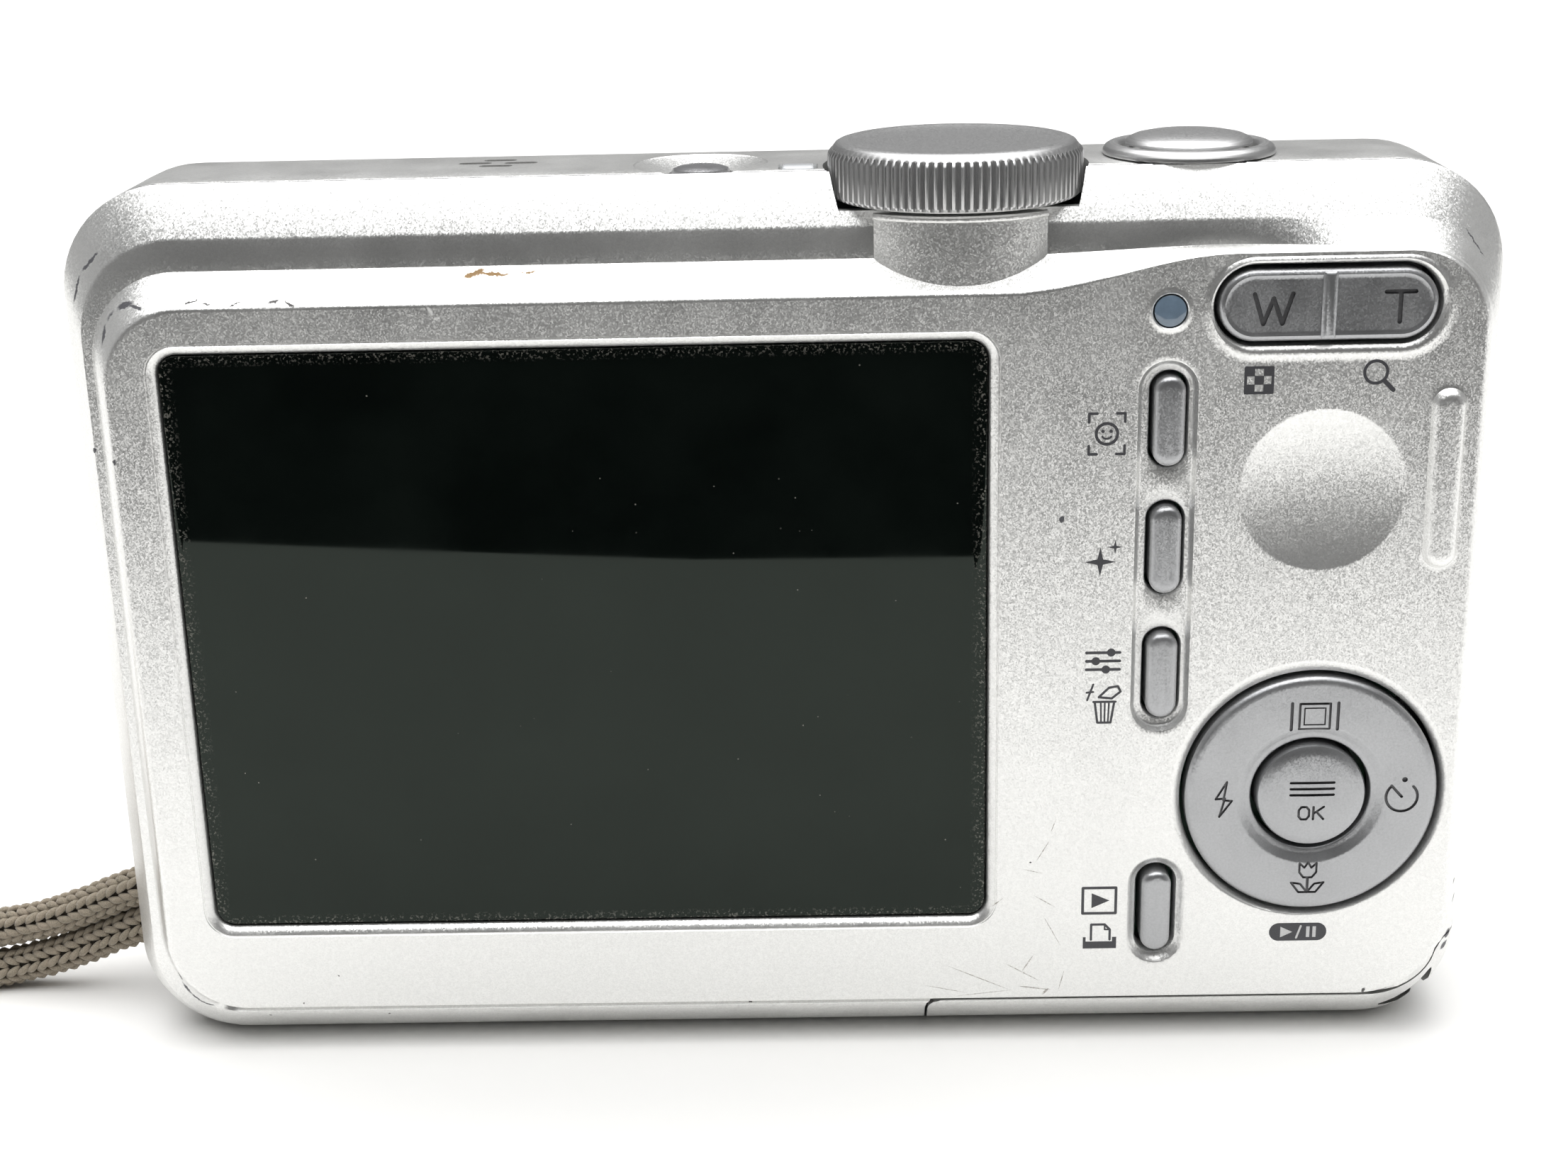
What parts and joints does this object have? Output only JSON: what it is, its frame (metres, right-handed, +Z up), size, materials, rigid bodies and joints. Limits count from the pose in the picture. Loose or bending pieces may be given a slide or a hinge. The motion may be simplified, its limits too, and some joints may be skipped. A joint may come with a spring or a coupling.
{
  "type": "compact digital camera",
  "caption": "Pocket digital camera with a rear screen, mode dial, zoom rocker, four-way pad, extending lens, battery door and a knitted wrist strap.",
  "frame": {"origin": "on the base plane, under the middle of the rigid body's bounding box", "axes": "+X towards the shutter side (right, seen from the screen side), +Y out of the lens, +Z up; the screen faces -Y"},
  "size_m": [0.1832, 0.0295, 0.0646],
  "materials": {
    "silver_paint": "silver sparkle paint, satin",
    "chrome_trim": "polished",
    "screen_glass": "polished, near black",
    "screen_panel": "satin",
    "sheet_metal": "pressed sheet",
    "circuit_board": "solder mask",
    "black_plastic": "moulded",
    "battery_wrap": "printed wrap",
    "card_plastic": "moulded",
    "steel": "plated",
    "barrel_silver": "satin, turned",
    "lens_glass": "coated",
    "sensor_face": "glass covered",
    "flash_lens": "ribbed, clear",
    "focus_lamp_lens": "amber, clear",
    "dial_metal": "dark satin, knurled",
    "satin_silver": "satin",
    "lamp_lens": "translucent",
    "key_grey": "satin grey",
    "strap_knit": "knitted cord"
  },
  "bodies": {
    "body": {"back_cover": "silver_paint", "front_cover": "silver_paint", "seam_trim": "chrome_trim", "lens_ring": "chrome_trim", "flash_reflector": "chrome_trim", "lcd_window": "screen_glass", "lcd_panel": "screen_panel", "lcd_backlight": "sheet_metal", "chassis_plate": "sheet_metal", "card_slot": "sheet_metal", "usb_port": "sheet_metal", "main_board": "circuit_board", "key_board": "circuit_board", "top_board": "circuit_board", "battery_box": "black_plastic", "battery_pack": "battery_wrap", "memory_card": "card_plastic", "speaker": "black_plastic", "microphone": "black_plastic", "flash_capacitor": "black_plastic", "zoom_motor": "steel", "dial_base": "black_plastic", "lens_base": "black_plastic", "rear_lens": "lens_glass", "image_sensor": "sensor_face", "flash_window": "flash_lens", "flash_tube": "flash_lens", "focus_lamp": "focus_lamp_lens", "shutter_ring": "satin_silver", "power_led": "lamp_lens", "status_led": "lamp_lens", "tripod_socket": "steel", "strap_bar": "steel", "strap_ferrule": "steel", "strap_cord": "strap_knit", "screw_base_left": "steel", "screw_base_right": "steel", "screw_left": "steel", "screw_right": "steel"},
    "mode_dial": {"mode_dial": "dial_metal"},
    "shutter_button": {"shutter_button": "satin_silver"},
    "power_button": {"power_button": "satin_silver"},
    "zoom_rocker": {"zoom_rocker": "key_grey"},
    "face_button": {"face_button": "key_grey"},
    "effect_button": {"effect_button": "key_grey"},
    "function_button": {"function_button": "key_grey"},
    "playback_button": {"playback_button": "key_grey"},
    "pad_gimbal": {"nav_gimbal": "black_plastic"},
    "nav_pad": {"nav_pad": "key_grey"},
    "ok_button": {"ok_button": "key_grey"},
    "door_slide": {"door_hinge": "sheet_metal"},
    "battery_door": {"battery_door": "silver_paint"},
    "terminal_cover": {"terminal_cover": "silver_paint"},
    "lens_outer": {"lens_outer_barrel": "barrel_silver"},
    "lens_inner": {"lens_inner_barrel": "barrel_silver", "lens_front_plate": "black_plastic", "front_lens": "lens_glass", "barrier_ring": "black_plastic"},
    "blade_upper": {"barrier_blade_upper": "barrel_silver"},
    "blade_lower": {"barrier_blade_lower": "barrel_silver"}
  },
  "joints": [
    {"name": "mode_dial_turn", "type": "hinge", "parent": "body", "child": "mode_dial", "pos_m": [0.012, -0.0045, 0.062], "axis": [0, 0, 1], "continuous": true},
    {"name": "shutter_press", "type": "slide", "parent": "body", "child": "shutter_button", "axis": [0, 0, -1], "range_m": [0, 0.0005], "stiffness_N_per_m": 1000, "springref_m": -0.0004},
    {"name": "power_press", "type": "slide", "parent": "body", "child": "power_button", "axis": [0, 0, -1], "range_m": [0, 0.0005], "stiffness_N_per_m": 1000, "springref_m": -0.0004},
    {"name": "zoom_rock", "type": "hinge", "parent": "body", "child": "zoom_rocker", "pos_m": [0.0361, -0.0085, 0.0542], "axis": [0, 0, 1], "range_deg": [-3, 3], "stiffness_Nm_per_rad": 0.05},
    {"name": "face_button_press", "type": "slide", "parent": "body", "child": "face_button", "axis": [0, 1, 0], "range_m": [0, 0.0005], "stiffness_N_per_m": 1000, "springref_m": -0.0004},
    {"name": "effect_button_press", "type": "slide", "parent": "body", "child": "effect_button", "axis": [0, 1, 0], "range_m": [0, 0.0005], "stiffness_N_per_m": 1000, "springref_m": -0.0004},
    {"name": "function_button_press", "type": "slide", "parent": "body", "child": "function_button", "axis": [0, 1, 0], "range_m": [0, 0.0005], "stiffness_N_per_m": 1000, "springref_m": -0.0004},
    {"name": "playback_button_press", "type": "slide", "parent": "body", "child": "playback_button", "axis": [0, 1, 0], "range_m": [0, 0.0005], "stiffness_N_per_m": 1000, "springref_m": -0.0004},
    {"name": "pad_tilt_up_down", "type": "hinge", "parent": "body", "child": "pad_gimbal", "pos_m": [0.03665, -0.0095, 0.01925], "axis": [1, 0, 0], "range_deg": [-2.5, 2.5], "stiffness_Nm_per_rad": 0.05},
    {"name": "pad_tilt_left_right", "type": "hinge", "parent": "pad_gimbal", "child": "nav_pad", "pos_m": [0.03665, -0.0095, 0.01925], "axis": [0, 0, 1], "range_deg": [-2.5, 2.5], "stiffness_Nm_per_rad": 0.05},
    {"name": "ok_button_press", "type": "slide", "parent": "body", "child": "ok_button", "axis": [0, 1, 0], "range_m": [0, 0.0005], "stiffness_N_per_m": 1000, "springref_m": -0.0004},
    {"name": "door_slide_out", "type": "slide", "parent": "body", "child": "door_slide", "axis": [1, 0, 0], "range_m": [0, 0.003]},
    {"name": "door_swing", "type": "hinge", "parent": "door_slide", "child": "battery_door", "pos_m": [0.0474, -0.0012, 0.0061], "axis": [0, -1, 0], "range_deg": [0, 90]},
    {"name": "terminal_cover_swing", "type": "hinge", "parent": "body", "child": "terminal_cover", "pos_m": [-0.0483, 0.0032, 0.036], "axis": [0, 0, -1], "range_deg": [0, 95]},
    {"name": "lens_extend", "type": "slide", "parent": "body", "child": "lens_outer", "axis": [0, 1, 0], "range_m": [0, 0.012]},
    {"name": "lens_inner_extend", "type": "slide", "parent": "lens_outer", "child": "lens_inner", "axis": [0, 1, 0], "range_m": [0, 0.008]},
    {"name": "blade_upper_swing", "type": "hinge", "parent": "lens_inner", "child": "blade_upper", "pos_m": [-0.0058, 0.0105, 0.0332], "axis": [0, 1, 0], "range_deg": [0, 34]},
    {"name": "blade_lower_swing", "type": "hinge", "parent": "lens_inner", "child": "blade_lower", "pos_m": [-0.0222, 0.0105, 0.0308], "axis": [0, 1, 0], "range_deg": [0, 34]}
  ],
  "couplings": [
    {"joint": "lens_inner_extend", "follows": "lens_extend", "ratio": 0.6666},
    {"joint": "blade_upper_swing", "follows": "lens_extend", "rad_per_m": 49.4},
    {"joint": "blade_lower_swing", "follows": "lens_extend", "rad_per_m": 49.4}
  ]
}
